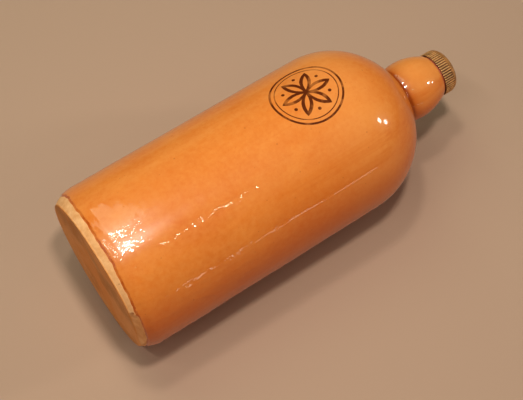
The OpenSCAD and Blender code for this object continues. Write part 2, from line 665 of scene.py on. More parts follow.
@dataclass(frozen=True)
class Rosette:
    """Generic six-petal mark printed under the glaze, between two rings. Sizes in millimetres.

    Each petal is drawn by two bowed sides, and its core is left open. A bow is how far the
    centre of a side's arc lies across the spoke.
    """

    angle: float = math.radians(-10.0)
    height: float = 167.0
    outer: float = 23.5
    outer_line: float = 1.375
    inner: float = 20.5
    inner_line: float = 0.66
    petal: float = 18.2
    petal_bow: float = 9.0
    core: Point = (2.0, 14.8)
    core_bow: float = 12.5
    eye: float = 2.0
    dot: float = 1.0
    dots_out: float = 0.82
    soft: float = 0.3

    def mask(self, surface: Surface) -> Socket:
        """Mask of the print.

        Args:
            surface: Graph of the glaze.

        Returns:
            1 on the print and 0 off it.
        """
        angle, height = surface.axis.outputs["Angle"], surface.axis.outputs["Height"]
        across = surface.times(surface.minus(angle, self.angle), AXIS_Z)
        along = surface.minus(height, self.height)
        reach = surface.far(across, along)
        turn = surface.math("ARCTAN2", across, along)
        sixth = FULL_TURN / 6.0
        half = sixth / 2.0
        folded = surface.minus(
            surface.math("FLOORED_MODULO", surface.plus(turn, half), sixth), half)
        out = surface.times(reach, surface.math("COSINE", folded))
        side = surface.math("ABSOLUTE", surface.times(reach, surface.math("SINE", folded)))
        petal = self._petal(surface, out, side, (0.0, self.petal), self.petal_bow)
        core = self._petal(surface, out, side, self.core, self.core_bow)
        beside = surface.times(surface.minus(half, surface.math("ABSOLUTE", folded)), reach)
        dot = surface.far(surface.minus(reach, self.petal * self.dots_out), beside)
        total = surface.minus(petal, core, clamp=True)
        for part in (self._ring(surface, reach, self.outer, self.outer_line),
                     self._ring(surface, reach, self.inner, self.inner_line),
                     surface.step(reach, self.eye, self.eye + self.soft, 1.0, 0.0),
                     surface.step(dot, self.dot, self.dot + self.soft, 1.0, 0.0)):
            total = surface.math("MAXIMUM", total, part)
        return total

    @staticmethod
    def _ring(surface: Surface, reach: Socket, radius: float, width: float) -> Socket:
        """Mask of a ring, from the distance to the middle of the mark."""
        off = surface.math("ABSOLUTE", surface.minus(reach, radius))
        return surface.step(off, width / 2.0 - 0.1, width / 2.0 + 0.15, 1.0, 0.0)

    @staticmethod
    def _petal(surface: Surface, out: Socket, side: Socket, ends: Point, bow: float) -> Socket:
        """Mask of a pointed petal along one spoke.

        Args:
            surface: Graph of the glaze.
            out: Distance along the spoke.
            side: Distance beside the spoke.
            ends: Where the petal starts and ends.
            bow: Bow of its sides.

        Returns:
            The mask.
        """
        half = (ends[1] - ends[0]) / 2.0
        radius = math.hypot(half, bow)
        gap = surface.far(surface.minus(out, ends[0] + half), surface.plus(side, bow))
        return surface.step(gap, radius - 0.2, radius + 0.1, 1.0, 0.0)


@dataclass(frozen=True)
class HoneyGlaze:
    """Glossy honey-coloured glaze over tan stoneware.

    The glaze is a sharp gloss under a broad haze, which the coat gives. Near the base is a
    crinkled patch, where both are livelier.
    """

    honey: Colour = srgb(230, 131, 51)
    amber: Colour = srgb(212, 102, 31)
    pale: Colour = srgb(236, 156, 82)
    painted_underside_shade: Colour = srgb(206, 80, 8)
    dark_glaze_and_crease_shade: Colour = srgb(150, 62, 12)
    rim: Colour = srgb(182, 76, 18)
    ink: Colour = srgb(80, 24, 4)
    rosette: Rosette = field(default_factory=Rosette)

    def build(self, effects: Effects) -> bpy.types.Material:
        """Makes the material.

        Args:
            effects: Shared effects.

        Returns:
            The material.
        """
        surface = Surface("honey_glaze", effects)
        height, angle = surface.axis.outputs["Height"], surface.axis.outputs["Angle"]
        side = surface.math("ABSOLUTE", angle)
        cloud, patch = surface.clouds(42.0, 1.0), surface.clouds(16.0, 1.3)
        grain, freckle = surface.clouds(9.0, 1.0), surface.clouds(3.2, 0.8)
        upper = surface.plus(surface.band(height, (140.0, 190.0), (196.0, 214.0), 0.35),
                             surface.step(height, 236.0, 244.0, 0.0, 0.4))
        worn = surface.step(grain["Broad"], 0.1, 0.55, 0.55, 0.96)
        tone = surface.layers(self.honey, (
            (cloud["Broad"], 0.6, self.amber),
            (surface.step(cloud["Streak"], 0.45, 0.95), 0.2, self.pale),
            (surface.step(grain["Fine"], 0.55, 1.0), 0.36, self.amber),
            (patch["Broad"], 0.4, self.amber),
            (freckle["Broad"], 0.36, self.pale),
            (upper, 1.0, self.pale),
            (self._runs(surface, cloud, patch), 1.0, self.amber),
            (surface.band(height, (212.0, 232.0), (236.0, 244.0), 0.55), 1.0, self.amber),
            # Painted shade: the glaze grows darker and redder towards the underside that faces the
            # floor.
            (surface.step(side, 0.75, 1.5, 0.0, 0.55), 1.0, self.painted_underside_shade),
            # Darker glaze: pooled round the lip, and painted shade in the crease.
            (surface.mark("dark_glaze_and_crease_shade"), 1.0, self.dark_glaze_and_crease_shade),
            (self._rim(surface), 1.0, self.rim),
            (surface.specks(3.4, 0.16, 0.1), 0.55, self.dark_glaze_and_crease_shade),
            (surface.specks(1.5, 0.26, 0.3), 0.4, self.amber),
            (surface.times(self.rosette.mask(surface), worn), 1.0, self.ink)))
        crinkle = surface.times(surface.step(height, 20.0, 56.0, 1.0, 0.0),
                                surface.band(angle, (-0.12, 0.1), (0.36, 0.5)))
        haze = surface.step(side, 0.5, 1.2, 0.2, 0.06)
        pinholes = surface.times(surface.specks(7.0, 0.1, 0.4), 0.12)
        return surface.finish(
            surface.minus(self._ripples(surface, crinkle), pinholes), Base_Color=tone,
            Roughness=surface.plus(surface.times(grain["Fine"], 0.03), 0.035),
            Specular_IOR_Level=0.32, Coat_Roughness=0.3,
            Coat_Weight=surface.plus(surface.times(crinkle, 0.55), haze))

    @staticmethod
    def _runs(surface: Surface, cloud: dict[str, Socket], patch: dict[str, Socket]) -> Socket:
        """Soft darker runs along the axis, low on the front of the upper half.

        Args:
            surface: Graph of the glaze.
            cloud: Broad mottle.
            patch: Finer mottle.

        Returns:
            Share of the darker colour.
        """
        zone = surface.times(surface.step(surface.axis.outputs["Height"], 80.0, 140.0),
                             surface.band(surface.axis.outputs["Angle"], (0.5, 0.72), (0.92, 1.1)))
        runs = surface.plus(surface.step(cloud["Streak"], 0.3, 0.8, 0.1, 0.4),
                            surface.step(patch["Streak"], 0.45, 0.95, 0.0, 0.25))
        return surface.times(zone, runs)

    @staticmethod
    def _ripples(surface: Surface, crinkle: Socket) -> Socket:
        """Ripples of the glaze: a swell, bumps low on the front, and a peel in the crinkle.

        Args:
            surface: Graph of the glaze.
            crinkle: Share of the crinkled glaze.

        Returns:
            Relief in millimetres.
        """
        height, angle = surface.axis.outputs["Height"], surface.axis.outputs["Angle"]
        sparkling = surface.times(crinkle, surface.step(angle, 0.0, 0.16))
        lively = surface.plus(surface.times(sparkling, 0.3), 0.01)
        bumpy = surface.times(surface.step(height, 100.0, 125.0, 0.26, 0.01),
                              surface.step(angle, 0.3, 0.42))
        peel, bumps, swell = (
            surface.noise(surface.stretch(surface.place, along, 1.0, 1.0), scale, detail, 0.5)
            for along, scale, detail in ((0.45, 0.5, 1.5), (0.8, 0.22, 0.5), (0.3, 0.1, 0.5)))
        relief = surface.plus(surface.times(peel, lively), surface.times(swell, 0.08))
        return surface.plus(relief, surface.times(bumpy, bumps))

    @staticmethod
    def _rim(surface: Surface) -> Socket:
        """Broken reddish line along the lower edge of the glaze.

        Args:
            surface: Graph of the glaze.

        Returns:
            Share of the line's colour.
        """
        wander = surface.times(surface.minus(surface.noise(surface.place, 0.8, 2.0), 0.5), 1.4)
        past = surface.plus(surface.mark("past"), wander)
        strong = surface.step(surface.noise(surface.place, 0.16, 3.0), 0.38, 0.62, 0.35, 0.9)
        return surface.times(surface.step(past, 0.2, 0.75, 1.0, 0.0), strong)


@dataclass(frozen=True)
class BareStoneware:
    """Unglazed tan stoneware of the heel band, the base and the inside."""

    tan: Colour = srgb(244, 186, 130)
    toast: Colour = srgb(224, 155, 94)
    stain_and_shade: Colour = srgb(230, 134, 44)
    soil: Colour = srgb(156, 90, 30)
    rust: Colour = srgb(186, 92, 34)
    speck: Colour = srgb(140, 84, 48)

    def build(self, effects: Effects) -> bpy.types.Material:
        """Makes the material.

        Args:
            effects: Shared effects.

        Returns:
            The material.
        """
        surface = Surface("bare_stoneware", effects)
        cloud, grain, grime = (surface.clouds(size, 1.2) for size in (26.0, 4.0, 34.0))
        specks = surface.specks(2.6, 0.16, 0.14)
        base = surface.step(surface.axis.outputs["Height"], 0.25, 0.9, 1.0, 0.0)
        smudge = surface.times(surface.step(cloud["Broad"], 0.35, 0.9), base)
        soiled = surface.times(surface.step(grime["Broad"], 0.35, 0.95), base)
        tone = surface.layers(self.tan, (
            (cloud["Fine"], 1.0, self.toast),
            # Painted shade: the whole base face is darkened and reddened, on top of its mottled
            # stains.
            (base, 0.5, self.stain_and_shade),
            (smudge, 0.5, self.stain_and_shade),
            (soiled, 0.42, self.soil),
            (specks, 0.8, self.speck),
            # Painted shade: the broken face of the chip is darkened.
            (surface.mark("chip"), 0.35, self.stain_and_shade),
            (surface.step(surface.mark("past"), -0.5, -0.05), 0.6, self.rust)))
        relief = surface.plus(surface.times(grain["Fine"], 0.04),
                              surface.times(cloud["Fine"], 0.06))
        return surface.finish(
            surface.minus(relief, surface.times(specks, 0.1)), Base_Color=tone,
            Roughness=surface.plus(surface.times(grain["Fine"], 0.2), 0.68),
            Specular_IOR_Level=0.3)


@dataclass(frozen=True)
class WornBrass:
    """Brass that is rubbed on its crests, tarnished and dirty in its roots.

    Root and crest are radii in millimetres. The crown is the height, in millimetres, above
    which ribs have run out and no dirt lodges.
    """

    name: str
    metal: Colour
    rubbed: Colour
    tarnish: Colour
    dirt: Colour
    root: float
    crest: float
    rough: float = 0.36
    shine: float = 0.6
    crown: float = 1000.0

    def build(self, effects: Effects) -> bpy.types.Material:
        """Makes the material.

        Args:
            effects: Shared effects.

        Returns:
            The material.
        """
        surface = Surface(self.name, effects)
        wear = surface.group(effects.wear, Place=surface.place, Root=self.root, Crest=self.crest,
                             Radius=surface.axis.outputs["Radius"])
        grain = surface.clouds(3.0, 1.2)["Fine"]
        ribbed = surface.step(surface.axis.outputs["Height"], self.crown - 1.2, self.crown + 0.8,
                              1.0, 0.0)
        rubbed = surface.math("MAXIMUM", wear.outputs["Rubbed"],
                              surface.times(surface.minus(1.0, ribbed), 0.3))
        dirt = surface.times(surface.times(wear.outputs["Dirt"], ribbed), 0.85)
        tone = surface.layers(self.metal, ((wear.outputs["Tarnish"], 1.0, self.tarnish),
                                           (rubbed, 0.7, self.rubbed),
                                           (dirt, 1.0, self.dirt)))
        rough = surface.plus(surface.times(grain, 0.16), self.rough)
        return surface.finish(
            surface.times(grain, 0.03), Base_Color=tone,
            Metallic=surface.minus(self.shine, surface.times(dirt, self.shine * 0.65)),
            Roughness=surface.plus(rough, surface.times(dirt, 0.3), clamp=True))


@dataclass(frozen=True)
class DullSolid:
    """Plain matt stuff with clouds and grain: rubber or set cement."""

    name: str
    light: Colour
    dark: Colour
    rough: float
    relief: float

    def build(self, effects: Effects) -> bpy.types.Material:
        """Makes the material.

        Args:
            effects: Shared effects.

        Returns:
            The material.
        """
        surface = Surface(self.name, effects)
        cloud = surface.clouds(6.0, 1.2)
        return surface.finish(
            surface.times(cloud["Fine"], self.relief),
            Base_Color=surface.layers(self.light, ((cloud["Fine"], 1.0, self.dark),)),
            Roughness=surface.plus(surface.times(cloud["Broad"], 0.15), self.rough))


class Finishes:
    """All finishes of the bottle, built once."""

    def __init__(self) -> None:
        """Builds each material."""
        effects = Effects()
        self.glaze = HoneyGlaze().build(effects)
        self.bare = BareStoneware().build(effects)
        self.head = WornBrass("stopper_brass", srgb(208, 136, 68), srgb(232, 184, 124),
                              srgb(138, 86, 40), srgb(78, 42, 16), root=15.35, crest=15.95,
                              shine=0.5, crown=LENGTH - 4.0).build(effects)
        self.stem = WornBrass("stem_brass", srgb(178, 134, 70), srgb(210, 172, 104),
                              srgb(146, 104, 52), srgb(70, 44, 22), root=7.6, crest=8.5,
                              rough=0.3).build(effects)
        self.bush = WornBrass("bush_brass", srgb(176, 132, 70), srgb(206, 168, 104),
                              srgb(140, 98, 50), srgb(66, 42, 22), root=8.8, crest=7.8,
                              rough=0.32).build(effects)
        self.rubber = DullSolid("washer_rubber", srgb(206, 92, 62), srgb(172, 66, 44),
                                rough=0.62, relief=0.04).build(effects)
        self.cement = DullSolid("set_cement", srgb(206, 196, 178), srgb(172, 160, 140),
                                rough=0.85, relief=0.15).build(effects)


@dataclass
class Neck:
    """Heights and thread of the neck that several pieces share, in millimetres.

    The flank is the part of the thread's wave that lies between root and crest.
    """

    mouth: float = 268.429
    recess: float = 267.229
    bush_end: float = 251.429
    ledge: float = 250.429
    pitch: float = 3.0
    root: float = 7.7
    depth: float = 0.8
    play: float = 0.12
    flank: Point = (0.08, 0.92)

    def thread(self, angles: np.ndarray, heights: np.ndarray) -> np.ndarray:
        """Share of the right-hand thread's depth, 1 on the crest of the stem."""
        turn = heights / self.pitch - angles / FULL_TURN
        return smooth(*self.flank, 0.5 + 0.5 * np.cos(FULL_TURN * turn))


@dataclass
class StonewareBottle:
    """The fired body: base, heel band, glazed side, shoulder and neck.

    Sizes are in millimetres and angles in degrees. A trim is what a soft corner takes off an
    arc. Each drift of the glaze's edge is its waves round the bottle, its height and its start
    in radians.
    """

    body_r: float = 57.5
    shoulder_h: float = 183.0
    heel_in: float = 5.5
    heel_r: float = 20.0
    base_edge: float = 1.6
    crease_r: float = 19.95
    foot_r: float = 19.65
    bulb_r: float = 21.55
    bulb_rise: float = 11.0
    mouth_r: float = 15.25
    shoulder_trim: float = 1.5
    foot_trim: float = 2.6
    lip_trim: float = 1.6
    lip_w: float = 1.1
    recess_r: float = 12.75
    seat_r: float = 12.0
    throat_r: float = 9.6
    wall: float = 8.0
    floor_t: float = 10.0
    inner_heel: float = 16.0
    hub_r: float = 2.0
    base_fine_r: float = 40.0
    side_top: float = 60.0
    glaze_edge: float = 5.2
    edge_pull: float = 4.5
    edge_far: float = 20.0
    glaze_t: float = 0.3
    bead: float = 0.1
    drifts: tuple[tuple[float, float, float], ...] = ((1.0, 1.38, 1.24), (2.0, 0.34, 0.39))
    drip: float = 0.28
    fray: float = 0.17
    chip_from: float = 58.0
    chip_to: float = 112.0
    chip_fade: Point = (3.0, 26.0)
    chip_r: float = 46.8
    chip_top: float = 4.9
    chip_slope: float = 0.56
    lump_d: float = 0.09
    turning_d: float = 0.014
    sectors: int = 360
    neck: Neck = field(default_factory=Neck)

    @property
    def crease_h(self) -> float:
        """Height of the crease between shoulder and neck."""
        return self.shoulder_h + math.sqrt(self.body_r ** 2 - self.crease_r ** 2)

    @property
    def heel_h(self) -> float:
        """Height where the heel's curve meets the straight side."""
        return math.sqrt(2.0 * self.heel_r * self.heel_in - self.heel_in ** 2)

    def outside(self) -> Profile:
        """Half profile from the middle of the base to the lip.

        Returns:
            Points as height and radius.
        """
        hub = (self.heel_h, self.body_r - self.heel_r)
        inset = self.heel_r - self.base_edge
        edge_r = hub[1] + math.sqrt(inset ** 2 - (self.heel_h - self.base_edge) ** 2)
        turn = math.degrees(math.atan2(self.base_edge - self.heel_h, edge_r - hub[1]))
        top = math.degrees(math.asin((self.crease_h - self.shoulder_h) / self.body_r))
        bulb_h = self.crease_h + self.bulb_rise
        foot = self._arc_radius(self.bulb_rise, self.bulb_r - self.foot_r)
        mouth = self.neck.mouth
        lip_l = mouth - bulb_h
        lip = self._arc_radius(lip_l, self.bulb_r - self.mouth_r)
        foot_turn = math.degrees(math.asin(self.bulb_rise / foot))
        lip_turn = math.degrees(math.asin(lip_l / lip))
        shoulder = arc((self.shoulder_h, 0.0), self.body_r, 0.0, top - self.shoulder_trim, 64)
        low_neck = arc((bulb_h, self.bulb_r - foot), foot, self.foot_trim - foot_turn, 0.0, 16)
        high_neck = arc((bulb_h, self.bulb_r - lip), lip, 0.0, lip_turn - self.lip_trim, 26)
        return join(
            run((0.0, self.hub_r), (0.0, self.base_fine_r), 14),
            run((0.0, self.base_fine_r), (0.0, edge_r), 18),
            arc((self.base_edge, edge_r), self.base_edge, -90.0, turn, 6),
            arc(hub, self.heel_r, turn, 0.0, 46),
            run((self.heel_h, self.body_r), (self.shoulder_h, self.body_r), 86),
            shoulder,
            bend(shoulder[-1], (self.crease_h - 0.1, self.foot_r - 0.1), low_neck[0], 9),
            low_neck, high_neck,
            bend(high_neck[-1], (mouth, self.mouth_r - 0.1),
                 (mouth, self.mouth_r - self.lip_w), 6))

    @staticmethod
    def _arc_radius(length: float, drop: float) -> float:
        """Radius of an arc that falls by drop over a length."""
        return (length ** 2 + drop ** 2) / (2.0 * drop)

    def inside(self) -> Profile:
        """Half profile from the lip down the seat, the throat and the chamber to the floor.

        Returns:
            Points as height and radius.
        """
        neck = self.neck
        chamber_r = self.body_r - self.wall
        rise = math.degrees(math.acos(self.throat_r / chamber_r))
        low = self.floor_t + self.inner_heel
        return join(
            bend((neck.mouth, self.recess_r + 0.4), (neck.mouth, self.recess_r),
                 (neck.mouth - 0.3, self.recess_r), 3),
            [(neck.recess, self.recess_r), (neck.recess, self.seat_r),
             (neck.ledge, self.seat_r), (neck.ledge, self.throat_r)],
            arc((self.shoulder_h, 0.0), chamber_r, rise, 0.0, 24),
            [(low, chamber_r)],
            arc((low, chamber_r - self.inner_heel), self.inner_heel, 0.0, -90.0, 10),
            [(self.floor_t, self.hub_r)])

    def edge_line(self, angles: np.ndarray) -> np.ndarray:
        """Height of the wavy lower edge of the glaze.

        Args:
            angles: Angles round the axis.

        Returns:
            Heights above the base.
        """
        drift = sum(size * np.cos(waves * angles + start) for waves, size, start in self.drifts)
        drips = Ripple(11, 9, (5, 17), ROUND_ONLY).at(angles, np.zeros(1))
        frays = Ripple(12, 12, (24, 70), ROUND_ONLY).at(angles, np.zeros(1))
        return self.glaze_edge + drift + self.drip * drips + self.fray * frays

    def build(self, finishes: Finishes) -> bpy.types.Object:
        """Makes the bottle.

        Args:
            finishes: Finishes of the object.

        Returns:
            The piece that stands for the CAD bottle.
        """
        outside = self.outside()
        shell = len(outside)
        heights, radii = spread(outside + self.inside(), self.sectors)
        angles = angles_round(self.sectors)
        edge = self.edge_line(angles)[None, :]
        base_h = heights[:shell, :1]
        side = (radii[:shell, :1] > self.body_r - self.heel_in - 0.6) & (base_h < self.side_top)
        pull = np.where(side, np.exp(-((base_h - self.glaze_edge) / self.edge_pull) ** 2), 0.0)
        pull *= smooth(0.3, 2.2, base_h)
        moved = heights[:shell] + pull * (edge - self.glaze_edge)
        radii[:shell] = np.where(side, self._heel_radius(moved), radii[:shell])
        heights[:shell] = moved
        past = np.where(base_h > 0.01, heights[:shell] - edge, -self.edge_far)
        lift = self._glaze_layer(past) * smooth(0.0, 1.0, base_h)
        self._press(heights[:shell], radii[:shell], lift - self._uneven(heights[:shell], angles))
        chip, dark_glaze_and_crease_shade = np.zeros_like(heights), np.zeros_like(heights)
        chip[:shell] = self._chip(heights[:shell], radii[:shell], angles)
        # Dark glaze: pooled round the lip, with painted shade in the crease.
        dark_glaze_and_crease_shade[:shell] = self._pooled_glaze_and_crease_shade(heights[:shell])
        clear = np.full_like(heights, self.edge_far)
        clear[:shell] = np.clip(past, -self.edge_far, self.edge_far)
        ring = int(np.argmin(np.abs(base_h[:, 0] - self.glaze_edge) + 1e3 * ~side[:, 0]))
        lip_end = shell + 3
        zones = [0 if ring <= i < lip_end else 1 for i in range(len(heights))]
        return Turned(heights, radii).build(
            "stoneware_bottle_body", finishes.glaze, finishes.bare, zones=zones,
            marks={"dark_glaze_and_crease_shade": dark_glaze_and_crease_shade, "chip": chip, "past": clear})

    def _heel_radius(self, heights: np.ndarray) -> np.ndarray:
        """Radii of the heel's curve and the straight side above it, at given heights."""
        below = np.clip(self.heel_h - heights, 0.0, self.heel_r)
        return self.body_r - self.heel_r + np.sqrt(self.heel_r ** 2 - below ** 2)

    def _glaze_layer(self, past: np.ndarray) -> np.ndarray:
        """Change of the surface outwards: the glaze's step down at its edge, and a bead past it."""
        level = -self.glaze_t * (1.0 - smooth(-0.3, 0.6, past))
        return level + self.bead * np.exp(-((past - 1.0) / 0.8) ** 2)

    def _uneven(self, heights: np.ndarray, angles: np.ndarray) -> np.ndarray:
        """Unevenness of the hand-finished outside, always inwards.

        Args:
            heights: Heights of the outside.
            angles: Angles round the axis.

        Returns:
            Depth at each point.
        """
        lumps = Ripple(3, 10, (1, 6), (40.0, 160.0)).at(angles, heights)
        turning = Ripple(4, 5, (0, 1), (7.0, 16.0)).at(angles, heights)
        depth = self.lump_d * (lumps + 2.2) + self.turning_d * (turning + 2.0)
        near_mouth = smooth(self.neck.mouth - 6.0, self.neck.mouth, heights)
        return np.clip(depth, 0.0, 0.6) * (1.0 - near_mouth) * smooth(0.0, 6.0, heights)

    @staticmethod
    def _press(heights: np.ndarray, radii: np.ndarray, outwards: np.ndarray) -> None:
        """Moves the outside along its own normal.

        Args:
            heights: Heights of the outside, changed in place.
            radii: Radii of the outside, changed in place.
            outwards: Distance to move each point.
        """
        along, across = np.gradient(heights, axis=0), np.gradient(radii, axis=0)
        size = np.maximum(np.hypot(along, across), 1e-6)
        heights -= outwards * across / size
        radii += outwards * along / size

    def _chip(self, heights: np.ndarray, radii: np.ndarray, angles: np.ndarray) -> np.ndarray:
        """Breaks a chip out of the heel band beside the base.

        Args:
            heights: Heights of the outside, changed in place.
            radii: Radii of the outside.
            angles: Angles round the axis.

        Returns:
            1 on the broken face and 0 off it.
        """
        degrees = np.degrees(angles)
        ragged = Ripple(21, 8, (30, 90), (3.0, 9.0)).at(angles, heights)
        start = smooth(self.chip_from, self.chip_from + self.chip_fade[0], degrees + 0.9 * ragged)
        end = smooth(self.chip_to - self.chip_fade[1], self.chip_to, degrees)
        share = start * (1.0 - end)
        rough = Ripple(22, 14, (20, 120), (1.5, 5.0)).at(angles, heights)
        rise = (radii - self.chip_r) * self.chip_slope * share + 0.12 * rough * share
        low = heights < self.chip_top
        broken = np.maximum(heights, np.minimum(rise, self.chip_top))
        heights[:] = np.where((share > 0.0) & low, broken, heights)
        return share * low * (radii > self.chip_r)

    def _pooled_glaze_and_crease_shade(self, heights: np.ndarray) -> np.ndarray:
        """Where the glaze is dark: glaze pooled round the lip, and in the crease pooled glaze with
        painted shade.

        Args:
            heights: Heights of the outside.

        Returns:
            Values of 0 to 1.
        """
        total = np.zeros_like(heights)
        # The two crease entries are pooled glaze with painted shade; the last is glaze pooled round
        # the lip.
        for strength, middle, reach in ((0.9, self.crease_h + 0.5, 1.6), (0.4, self.crease_h, 8.0),
                                        (0.3, self.neck.mouth, 1.2)):
            total += strength * np.exp(-((heights - middle) / reach) ** 2)
        return np.clip(total, 0.0, 1.0)


@dataclass
class NeckFitting:
    """Brass bush with its inside thread, keyed into the cement. Sizes in millimetres."""

    outer_r: float = 10.8
    flange_r: float = 12.7
    flange_edge: float = 0.25
    key_depth: float = 0.7
    key_w: float = 2.4
    keys: int = 3
    bore_r: float = 8.7
    lead_r: float = 8.9
    lead: float = 0.9
    lead_fade: Point = (1.0, 2.2)
    mouth_r: float = 9.6
    sectors: int = 128
    neck: Neck = field(default_factory=Neck)

    def build(self, finishes: Finishes) -> bpy.types.Object:
        """Makes the bush.

        Args:
            finishes: Finishes of the object.

        Returns:
            The piece that stands for the CAD bush.
        """
        neck = self.neck
        mouth = neck.mouth
        pitch = (neck.recess - neck.bush_end) / (self.keys + 1)
        key_r = self.outer_r - self.key_depth
        outer: Profile = [(neck.bush_end, self.outer_r)]
        for i in range(1, self.keys + 1):
            low = neck.bush_end + i * pitch - self.key_w / 2.0
            high = low + self.key_w
            outer += [(low, self.outer_r), (low, key_r), (high, key_r), (high, self.outer_r)]
        outer += [(neck.recess, self.outer_r), (neck.recess, self.flange_r),
                  (mouth - self.flange_edge, self.flange_r),
                  (mouth, self.flange_r - self.flange_edge), (mouth, self.mouth_r)]
        bore = run((mouth - self.lead, self.bore_r), (neck.bush_end, self.bore_r), 96)
        heights, radii = spread(outer + bore, self.sectors)
        inner = slice(len(outer), None)
        share = neck.thread(angles_round(self.sectors), heights[inner])
        cut = neck.root + neck.depth * share + neck.play
        ends = smooth(mouth - self.lead_fade[0], mouth - self.lead_fade[1], heights[inner])
        radii[inner] = cut * ends + self.lead_r * (1.0 - ends)
        return Turned(heights, radii, hoop=True).build("neck_bush_threaded", finishes.bush,
                                                       crease=40.0)


@dataclass
class SealingWasher:
    """Rubber ring under the stopper's head. Sizes in millimetres."""

    inner_r: float = 8.8
    outer_r: float = 14.3
    thickness: float = 1.6
    corner: float = 0.35
    sectors: int = 128
    neck: Neck = field(default_factory=Neck)

    def build(self, finishes: Finishes) -> bpy.types.Object:
        """Makes the washer.

        Args:
            finishes: Finishes of the object.

        Returns:
            The piece that stands for the CAD washer.
        """
        low = self.neck.mouth + self.corner
        high = self.neck.mouth + self.thickness - self.corner
        outer, inner = self.outer_r - self.corner, self.inner_r + self.corner
        corners = (((low, outer), -90.0), ((high, outer), 0.0),
                   ((high, inner), 90.0), ((low, inner), 180.0))
        profile = join(*(arc(centre, self.corner, start, start + 90.0, 5)
                         for centre, start in corners))
        return Turned(*spread(profile, self.sectors), hoop=True).build(
            "sealing_washer_ring", finishes.rubber)


@dataclass
class ScrewStopper:
    """Ribbed head and threaded stem of the stopper. Sizes in millimetres.

    The thread runs out over a stretch above and below the mouth. The foot of the skirt has a
    height and a width of rounding outside, and of lead inside.
    """

    head_r: float = 15.95
    groove: float = 0.55
    groove_soft: float = 0.16
    ribs: int = 56
    per_rib: int = 10
    skirt_h: float = 269.029
    skirt_round: Point = (0.5, 0.75)
    skirt_lead: Point = (0.2, 0.15)
    top_h: float = LENGTH
    crown_r: float = 5.9
    dome_h: float = 0.5
    crown_t: float = 2.2
    skirt_in: float = 14.6
    core_edge: float = 4.55
    fit: float = 0.03
    washer_top: float = 270.029
    hub_r: float = 1.0
    stem_r: float = 8.5
    stem_l: float = 14.0
    plain_l: float = 0.9
    run_out: Point = (0.6, 1.2)
    face_r: float = 6.9
    taper_r: float = 7.0
    taper: float = 1.25
    stem_sectors: int = 128
    neck: Neck = field(default_factory=Neck)

    def build_head(self, finishes: Finishes) -> bpy.types.Object:
        """Makes the head: ribs that run out in the rounded crown, and the hollow below.

        Args:
            finishes: Finishes of the object.

        Returns:
            The piece that stands for the CAD head.
        """
        round_h, round_w = self.skirt_round
        lead_h, lead_w = self.skirt_lead
        edge = self.top_h - self.dome_h - self.crown_r
        shoulder_r = self.head_r - self.crown_r
        dome = (shoulder_r ** 2 + self.dome_h ** 2) / (2.0 * self.dome_h)
        dome_deg = math.degrees(math.asin(shoulder_r / dome))
        outside = join(
            bend((self.skirt_h, self.head_r - round_w), (self.skirt_h, self.head_r),
                 (self.skirt_h + round_h, self.head_r), 6),
            run((self.skirt_h + round_h, self.head_r), (edge, self.head_r), 12),
            arc((edge, shoulder_r), self.crown_r, 0.0, 86.0, 16),
            arc((self.top_h - dome, 0.0), dome, 90.0 - dome_deg, 89.5, 12))
        cavity = self._core(0.0) + [(self.skirt_h + lead_h, self.skirt_in),
                                    (self.skirt_h, self.skirt_in + lead_w)]
        count = self.ribs * self.per_rib
        heights, radii = spread(outside, count)
        low_h, low_r = spread(cavity, count)
        return Turned(np.concatenate((low_h, heights)),
                      np.concatenate((low_r, self._rib(radii)))).build(
            "stopper_head_ribbed", finishes.head, crease=62.0)

    def _rib(self, radii: np.ndarray) -> np.ndarray:
        """Cuts the grooves between the ribs, with soft edges.

        Args:
            radii: Radii of the turned outside.

        Returns:
            Radii of the ribbed outside.
        """
        wave = 0.5 - 0.5 * np.cos(self.ribs * angles_round(radii.shape[1]))
        floor = self.head_r - self.groove * smooth(0.18, 0.86, wave)
        gap = np.clip((radii - floor) / self.groove_soft, -1.0, 1.0)
        softened = radii - self.groove_soft / 4.0 * (gap + 1.0) ** 2
        return np.where(gap >= 1.0, floor, softened)

    def _core(self, gap: float) -> Profile:
        """Rounded top and edge of the core that fills the head.

        Args:
            gap: Distance that the core stands in from the head.

        Returns:
            Points from the middle of the core's top to its edge.
        """
        top, edge = self.top_h - self.crown_t - gap, self.core_edge
        rounded = arc((top - edge, self.skirt_in - gap - edge), edge, 90.0, 0.0, 10)
        return [(top, self.hub_r)] + rounded

    def build_stem(self, finishes: Finishes) -> bpy.types.Object:
        """Makes the core that fills the head, and the threaded stem below it.

        Args:
            finishes: Finishes of the object.

        Returns:
            The piece that stands for the CAD stem.
        """
        neck = self.neck
        end = neck.mouth - self.stem_l
        face = run((end, self.hub_r), (end, self.face_r), 5)
        plain = self.washer_top - self.plain_l
        shank = run((end + 0.01, self.stem_r), (plain, self.stem_r), 100)
        profile = join(face, shank,
                       [(self.washer_top, self.stem_r),
                        (self.washer_top, self.skirt_in - self.fit)],
                       self._core(self.fit)[::-1])
        heights, radii = spread(profile, self.stem_sectors)
        body = slice(len(face), len(face) + len(shank))
        share = neck.thread(angles_round(self.stem_sectors), heights[body])
        fade = smooth(neck.mouth + self.run_out[0], neck.mouth - self.run_out[1], heights[body])
        cut = neck.root + neck.depth * (1.0 - fade + fade * share)
        radii[body] = np.minimum(cut, self.taper_r + self.taper * (heights[body] - end))
        return Turned(heights, radii).build("stopper_stem_threaded", finishes.stem, crease=45.0)


